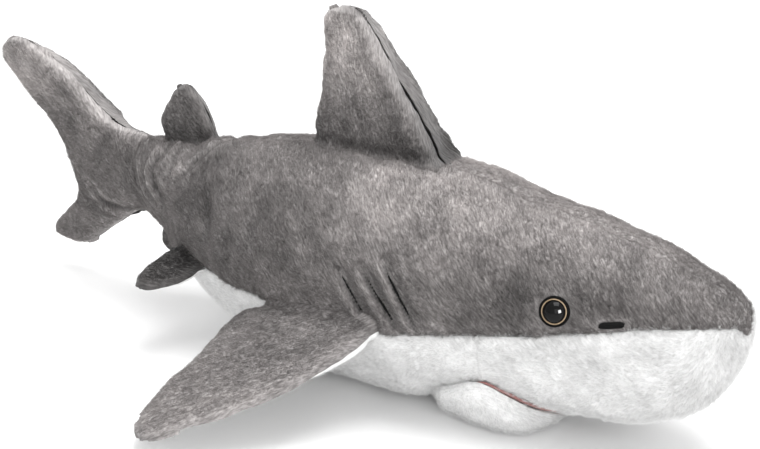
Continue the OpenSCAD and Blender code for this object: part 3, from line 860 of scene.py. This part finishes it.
def fin_outline(lead, trail, slant):
    """The fin's free edge as [back, out]. It goes on below the root, where the fin keeps its thickness."""
    drop = 60
    q = np.linspace(0, lead[-1, 0], 60)
    return np.concatenate([
        [[lead[0, 1] - slant * drop, -drop]],
        edge_points(lead, q),
        edge_points(trail, q)[::-1],
        [[trail[0, 1], -drop]],
    ])


def swell(x, power=2.0):
    """A pillow's height, from 0 at its edge to 1 at x = 1. A higher power makes a blunter edge."""
    x = np.clip(x, 0, 1)
    return np.sqrt(1 - (1 - x) ** power)


def spread(count):
    """Shares from 0 to 1, closer together at both ends."""
    return (1 - np.cos(math.pi * np.linspace(0, 1, count))) / 2


def fin_panel(
    name, fin, side, face, kind, nodes, body, seed,
    rows=64, columns=56, nap=(0.9, 0.4), shade=1.0, dark=0.4,
):
    """One panel of a fin. face is 1 for the panel on the side of the plane's normal, which is the left of an
    upright fin and the underside of a paired one, and -1 for the other. nap is the pile's direction, out and
    back, shade its painted light, which paints a panel lighter where light falls on its fin and darker where
    it lies in shade, and dark how much painted shade darkens the root against the tip."""
    front, back, out, normal_axis = fin_frame(fin, side)
    lead, trail = np.array(fin["lead"], float), np.array(fin["trail"], float)
    span = lead[-1, 0]
    slant = (lead[1, 1] - lead[0, 1]) / (lead[1, 0] - lead[0, 0])
    share = np.linspace(0, 1, rows)[:, None]
    q = -fin["sink"] + (span + fin["sink"]) * (0.4 * share + 0.6 * np.sin(math.pi / 2 * share))
    inside = np.clip(q, 0, None)
    start = curve(lead, 1, inside) + np.minimum(q, 0) * slant
    end = curve(trail, 1, inside)
    across = spread(columns)[None, :]
    p = start + (end - start) * across
    q = q + 0 * p
    grey = kind == "grey"
    # How far inside the outline the two edges and the tip are, to leave room for the pile
    lead_in = 0.5 if grey else 1 + 6 * smooth((q - 10) / 30)
    trail_in = 1.2 if grey else 6
    tip_in = 0.4 if grey else 5
    distance, _ = path_distance(fin_outline(lead, trail, slant), p, q)
    half = fin["root_half"] + (fin["tip_half"] - fin["root_half"]) * np.clip(q / span, 0, 1)
    full = fin.get("full", 0) * (1 if face == LEFT else -1 / 3)
    half = half + full * (1 - across)
    rounding = fin["lead_rounding"] + (fin["rounding"] - fin["lead_rounding"]) * across
    t = (half - PILE * 0.6) * swell(distance / rounding, 2.8 - 0.8 * across)
    forward = 1.6 * max(full, 0) * (1 - q / span) * hill(distance - 6, 5)
    p = p + (lead_in - forward) * (1 - across) - trail_in * across
    q = q - tip_in * smooth((q / span - 0.6) / 0.4)
    grid = front + back * p[..., None] + out * q[..., None] + normal_axis * (face * t)[..., None]
    facing = -face * side  # the rows run outwards and the columns back
    normal = normals(grid, facing)
    scale = fin["root_half"] / 14
    push = (0.25 + 0.75 * scale) * (0.7 * lumps(grid, 24, seed) + 0.35 * lumps(grid, 9, seed + 1))
    push += 0.5 * scale * hill(distance - 5, 3) - (0.5 + 0.3 * scale) * hill(distance, 1.1)
    push -= (0.6 + 0.9 * scale) * hill(q - 1, 3.0)
    for k in range(3):
        lean = p - (0.22 + 0.27 * k) * trail[0, 1] - 0.35 * q
        push -= 0.5 * scale * hill(lean, 3.5) * smooth((0.55 * span - q) / (0.4 * span))
    nap_uv = nap_map(q, start + lengths(grid, 1), np.array(nap) / np.hypot(*nap), facing)
    push += 0.2 * tufts(*nap_uv, seed + 2)
    grid = grid + normal * push[..., None]
    tone = 1 + 0.06 * lumps(grid, 26, seed + 3) + 0.05 * lumps(grid, 10, seed + 4)
    # shade is painted light over the whole panel; the root crease and the root get painted shade
    tone = shade * tone * (1 - 0.2 * hill(q - 1, 6)) * (1 - dark * (1 - smooth(q / (0.8 * span))))
    tone = tone * (1 - 0.35 * smooth((q - span + 8) / 5)) * (1 - 0.2 * hill(distance, 1.5))
    # painted shade along the fuller leading edge, more on the left panel
    if full:
        tone = tone * (1 - (0.62 if full > 0 else 0.4) * (1 - across) * hill(distance, 12))
    if not grey:
        tone = 1 + 0.02 * (tone - 1)
    bare = (q < -3) | (q > span - 4) | (distance < (SEAM_BARE if grey else 4))
    short = 0.2 + 0.8 * smooth(distance / 7)
    piece = cloth_panel(name, grid, facing, nap_uv, tone, bare, short, (front, normal_axis * face), distance)
    middle = front + back * (trail[0, 1] / 2)
    blend = (("torso", body), middle - out, middle + out * fin["bend"])
    scale = 0.65 if fin["root_half"] > 6 else 0.5
    finish_panel(piece, kind, nodes, seed, blend=blend, scale=scale)


def upright_fin(stem, fin, seed, flip=1, **options):
    """A fin on the middle plane, with a left and a right panel. flip is -1 where it hangs."""
    for face in (LEFT, RIGHT):
        name = SIDE_NAMES[face * flip]
        nodes = [f"{stem}_panel_{name}"]
        if face == LEFT:
            nodes.append(stem + "_stuffing")
        fin_panel(f"{stem}_{name}", fin, 1, face, "grey", nodes, stem + "_fin", seed + face, **options)


def side_fins(stem, fin, seed, **options):
    """A pair of fins, with a grey upper panel and a white lower one."""
    for side in (LEFT, RIGHT):
        name = SIDE_NAMES[side]
        body = f"{stem}_fin_{name}"
        upper, lower = [f"{stem}_upper_{name}", f"{stem}_stuffing_{name}"], [f"{stem}_lower_{name}"]
        fin_panel(f"{stem}_fin_top_{name}", fin, side, -1, "grey", upper, body, seed + side, **options)
        fin_panel(f"{stem}_fin_under_{name}", fin, side, 1, "white", lower, body, seed + 10 + side, **options)


# ---- Tail ----

def tail_panel(side):
    """One side of the tail and its fin. The rows are closer together where the outline turns at the neck."""
    bands = [(TAIL_FOOT, 56, 34), (56, 65, 18), (65, 111, 32), (111, 121, 20), (121, TAIL_TIP, 37)]
    height = np.concatenate([np.linspace(*band, endpoint=False) for band in bands] + [[TAIL_TIP]])[:, None]
    start, end = curve(TAIL_LEAD, 1, height), curve(TAIL_TRAIL, 1, height)
    s = start + (end - start) * spread(88)[None, :]
    z = height + 0 * s
    rows = np.linspace(TAIL_FOOT, TAIL_TIP, 150)
    lower, upper = edge_points(TAIL_LEAD, rows[rows < 60]), edge_points(TAIL_LEAD, rows[rows > 114])
    outline = [[[380, 62]], lower[::-1], edge_points(TAIL_TRAIL, rows), upper[::-1], [[380, 114]]]
    distance, _ = path_distance(np.concatenate(outline), s, z)
    pillow_half = np.interp(s, *TAIL_HALF.T)
    leading = smooth((z - 108) / 14) * smooth((178 - z) / 30)
    leading = leading * smooth(1 - (s - start) / (0.4 * (end - start)))
    blunt, fuller = (0.7, 0.5) if side == LEFT else (0.5, 0.1)
    rounding = np.interp(s, *TAIL_ROUNDING.T) * (1 - blunt * leading)
    pillow = (pillow_half - PILE * 0.7) * (1 + fuller * leading)
    pillow = pillow * swell(distance / rounding, 2 + 0.6 * leading)
    rise = z - section(WIDEST, s)
    neck = section(WIDTH, s) * bulge(rise / half_height(s, rise > 0))
    mixed = smooth((s - 414) / 28)
    y = np.maximum(neck - PILE, 0.1) * (1 - mixed) + pillow * mixed
    grid = np.stack([NOSE_X - s, side * y, z], axis=-1)
    normal = normals(grid, -side)
    push = 0.8 * relief(grid, 81 + side)
    push += smooth((s - TAIL_SHOWS) / 12) * (0.6 * hill(distance - 5, 3) - 0.8 * hill(distance, 1.1))
    marks = [fold(path, s, z, depth, width, puff) for path, depth, width, puff in TAIL_FOLDS + FOLDS[2:5]]
    push += sum(mark[0] for mark in marks)
    push -= 2.6 * smooth((TAIL_SHOWS - s) / 9)
    nap_uv = nap_map(z, start + lengths(grid, 1), (0.75, 0.66), -side)
    push += 0.2 * tufts(*nap_uv, 37)
    grid = grid + normal * push[..., None]
    # painted light: lighter towards the top, as if lit from above
    tone = patch_tone(s, z, grid) * (0.92 + 0.6 * smooth((z - 100) / 40))
    # painted shade on the strip along the leading edge, more on the left panel
    tone = tone * (1 - (0.5 if side == LEFT else 0.12) * leading) * (1 - 0.3 * smooth((z - 157) / 5))
    short = 0.2 + 0.8 * smooth(distance / 6)
    # painted shade in the folds, painted light on their puffed sides
    tone = tone * math.prod(painted_crease_light for _, painted_crease_light, _ in marks)
    short = short * math.prod(length for _, _, length in marks)
    bare = (s < TAIL_START) | (z < TAIL_FOOT + 3.5) | (z > TAIL_TIP - 3.5) | (distance < SEAM_BARE)
    name = SIDE_NAMES[side]
    piece = cloth_panel("tail_" + name, grid, -side, nap_uv, tone, bare, short, MIDDLE[side], distance)
    nodes = ["tail_panel_" + name]
    if side == LEFT:
        nodes.append("tail_stuffing")
    finish_panel(piece, "grey", nodes, 170 + side, blend=TORSO_TAIL, scale=0.9)


# ---- Eyes, nostrils and gill threads ----

def lathe(name, profile, place, segments=72):
    """A solid from a profile of [radius, height] turned about +Z. The profile starts and ends on the axis, or
    else is the closed outline of a ring."""
    profile = np.array(profile, float)
    on_axis = profile[0, 0] == 0
    turned = profile[1:-1] if on_axis else profile
    turn = 2 * math.pi * np.arange(segments) / segments
    radius, height = turned[:, :1], turned[:, 1:]
    points = np.stack([radius * np.cos(turn), radius * np.sin(turn), height + 0 * turn], axis=-1)
    points = points.reshape(-1, 3)
    faces = grid_quads(len(turned), segments, flip=on_axis, ring=True, closed=not on_axis)
    if on_axis:
        foot, top = len(points), len(points) + 1
        for k in range(segments):
            n = (k + 1) % segments
            faces.append((foot, n, k))
            faces.append((top, foot - segments + k, foot - segments + n))
        points = np.concatenate([points, [[0, 0, profile[0, 1]], [0, 0, profile[-1, 1]]]])
    piece = make_mesh(name, points, faces)
    piece.data.transform(place)
    return piece


def eye_place(side):
    look = Vector((EYE_LOOK[0], EYE_LOOK[1] * side, EYE_LOOK[2])).normalized()
    spot = Vector(flank_point(EYE, side)) * MM
    return Matrix.Translation(spot) @ look.to_track_quat("Z", "Y").to_matrix().to_4x4()


def arc(centre, radius, start, end, steps):
    angles = np.radians(np.linspace(start, end, steps))
    return [(centre[0] + radius * math.cos(a), centre[1] + radius * math.sin(a)) for a in angles]


def collar(radius, height, half, foot):
    """Profile of a ring with a round top, half as wide as half to each side of its radius."""
    return [(radius - half, foot), *arc((radius, height), half, 180, 0, 9), (radius + half, foot)]


def eyes():
    """The safety eyes. Returns the two domes."""
    domes = []
    for side in (LEFT, RIGHT):
        name = SIDE_NAMES[side]
        place = eye_place(side)
        base, height = 6.25, 4.4  # of the dome, a cap of a ball
        ball = (base * base + height * height) / (2 * height)
        widest = math.degrees(math.asin(base / ball))
        dome = arc((0, 0.9 + height - ball), ball, 90 - widest, 90, 18)
        dome[-1] = (0, 0.9 + height)
        profile = [(0, -4), (2, -4), (2, -0.5), (base, -0.5), *dome]
        eyeball = lathe("eyeball_" + name, profile, place)
        finish_part(eyeball, eye_black, "eye_" + name, "torso")
        domes.append(eyeball)
        band = lathe("eye_band_" + name, collar(6.45, 0.95, 0.35, -0.4), place)
        finish_part(band, ring_tan, "eye_ring_" + name, "torso")
        # The black rim is the eye's own dark rim, and its outer part is painted shade of the pile round the
        # eye
        rim = lathe("eye_rim_and_shade_" + name, collar(7.45, 0.55, 0.75, -0.6), place)
        finish_part(rim, rim_black_and_shade, None, "torso")
        washer = frame["nodes"]["eye_washer_" + name]
        washer.data.materials.clear()
        washer.data.materials.append(washer_white)
    return domes


def tube(points, radius, sides=10):
    """Rings of points about a path, and the faces of a closed tube through them."""
    points = np.asarray(points, float)
    run = unit(np.gradient(points, axis=0))
    up = unit(np.cross(run, np.array([0.0, 0.3, 1.0])))
    other = np.cross(run, up)
    turn = 2 * math.pi * np.arange(sides) / sides
    taper = np.sqrt(np.clip(np.sin(math.pi * np.linspace(0.02, 0.98, len(points))), 0, 1))
    size = radius * (0.35 + 0.65 * np.minimum(taper * 1.6, 1))
    rings = points[:, None] + size[:, None, None] * (
        np.cos(turn)[:, None] * up[:, None] + np.sin(turn)[:, None] * other[:, None]
    )
    count = len(points)
    faces = grid_quads(count, sides, flip=True, ring=True)
    faces.append(tuple(reversed(range(sides))))
    faces.append(tuple((count - 1) * sides + k for k in range(sides)))
    return rings.reshape(-1, 3), faces


def join_tubes(name, tubes):
    points, faces, start = [], [], 0
    for tube_points, tube_faces in tubes:
        points.append(tube_points)
        faces.extend(tuple(v + start for v in face) for face in tube_faces)
        start += len(tube_points)
    return make_mesh(name, np.concatenate(points), faces)


def nostrils_and_gills():
    for side in (LEFT, RIGHT):
        name = SIDE_NAMES[side]
        start, end = (np.array(flank_point(spot, side, 0.5)) for spot in NOSTRIL)
        run = unit(end - start)
        outward = unit(np.cross(run, (0, 0, 1)))
        outward = outward * side * np.sign(outward[1])
        width_axis = unit(np.cross(outward, run))
        stitches = []
        count = 30
        for k in range(count):
            share = (k + 0.5) / count
            middle = start + (end - start) * share
            half = 1.9 * math.sqrt(max(1 - (2 * share - 1) ** 6, 0.05))
            bow = np.linspace(-1, 1, 7)
            line = (
                middle + np.outer(bow * half, width_axis) + np.outer(1.3 * (1 - bow**2) - 0.35, outward)
                + np.outer(bow * 0.25, run)
            )
            stitches.append(tube(line, 0.27, 6))
        piece = join_tubes("nostril_stitches_" + name, stitches)
        finish_part(piece, thread_dark, "nostril_" + name, "torso")
        threads = []
        for path in GILLS:
            share = np.linspace(0, 1, 24)[:, None]
            spots = np.array(path[0]) + (np.array(path[1]) - np.array(path[0])) * share
            # The near black threads lie just under the pile's tips, so besides being the stitching they paint
            # the shade inside the slits.
            line = np.array([flank_point(spot, side, PILE + 1.9) for spot in spots])
            line = line + np.array([0, side, 0]) * 0.2 * np.sin(share * 40)
            threads.append(tube(line, 0.55, 8))
        piece = join_tubes("gill_threads_" + name, threads)
        finish_part(piece, thread_dark, "gill_stitching_" + name, "torso")


# ---- Camera, floor and light ----

def studio(eyeballs):
    """The camera, floor and light. The glint lamp lights only the eyeballs."""
    scene = bpy.context.scene
    target = Vector((0.045, 0, 0.090))
    azimuth, elevation, distance = math.radians(33.4), math.radians(21.7), 0.793
    back = Vector((
        math.sin(azimuth) * math.cos(elevation), -math.cos(azimuth) * math.cos(elevation), math.sin(elevation)
    ))
    camera = bpy.data.objects.new("camera", bpy.data.cameras.new("camera"))
    camera.data.lens = 62.8
    camera.location = target + back * distance
    camera.rotation_euler = (-back).to_track_quat("-Z", "Y").to_euler()
    scene.collection.objects.link(camera)
    scene.camera = camera

    far = 6000
    corners = [(-far, -far, 0), (far, -far, 0), (far, far, 0), (-far, far, 0)]
    floor = make_mesh("floor", corners, [(0, 1, 2, 3)])
    floor.data.materials.append(fine_material("floor", 0.88, 0.90, 400, 0.9, 0.0))

    world = bpy.data.worlds.new("studio")
    world.use_nodes = True
    tree = world.node_tree
    feed(tree, tree.nodes["Background"], {"Color": (1, 1, 1, 1), "Strength": 0.92})
    scene.world = world

    eyes_only = bpy.data.collections.new("eyes_only")
    for eyeball in eyeballs:
        eyes_only.objects.link(eyeball)
    lamps = [
        ("glint", (0.90, -0.30, 0.34), 0.36, 36),
        ("key", (0.25, 0.15, 1.5), 1.0, 20),
        ("fill", (1.2, -1.2, 0.8), 1.2, 10),
        ("rim", (-1.2, 0.9, 0.9), 0.8, 6),
    ]
    for name, place, size, power in lamps:
        data = bpy.data.lights.new(name, "AREA")
        data.size = size
        data.energy = power
        lamp = bpy.data.objects.new(name, data)
        lamp.location = place
        lamp.rotation_euler = (Vector(place) - Vector((0.03, 0, 0.06))).to_track_quat("Z", "Y").to_euler()
        scene.collection.objects.link(lamp)
        if name == "glint":
            lamp.light_linking.receiver_collection = eyes_only
    scene.view_settings.view_transform = "Standard"


for one_side in (LEFT, RIGHT):
    back_panel(one_side)
    tail_panel(one_side)
under_panel("snout", 0, SNOUT_END + 0.6, "snout_panel", 121, body="torso")
under_panel("belly", SNOUT_END, WHITE_END - 2, "belly_panel", 123, blend=TORSO_TAIL)
jaw()
mouth_felt("mouth_roof", "mouth_lining", "torso", -0.1, 1.2)
mouth_felt("mouth_floor", "jaw_lining", "lower_jaw", -1.0, 0.8)
# Each fin's shade is painted light: the big dorsal and the pectorals are painted lighter, and the second
# dorsal, the anal and the pelvic fins darker, as the light falls on them.
upright_fin("dorsal", DORSAL, 200, rows=84, columns=84, nap=(0.98, 0.15), shade=1.95, dark=0.66)
upright_fin("second_dorsal", SECOND_DORSAL, 220, nap=(0.86, 0.4), shade=0.66, dark=0.4)
upright_fin("anal", ANAL, 240, flip=-1, rows=36, columns=36, shade=0.5)
side_fins("pectoral", PECTORAL, 260, rows=90, columns=84, nap=(0.75, 0.66), shade=1.25, dark=0.3)
side_fins("pelvic", PELVIC, 300, rows=44, columns=40, nap=(0.7, 0.7), shade=0.32)
nostrils_and_gills()
studio(eyes())
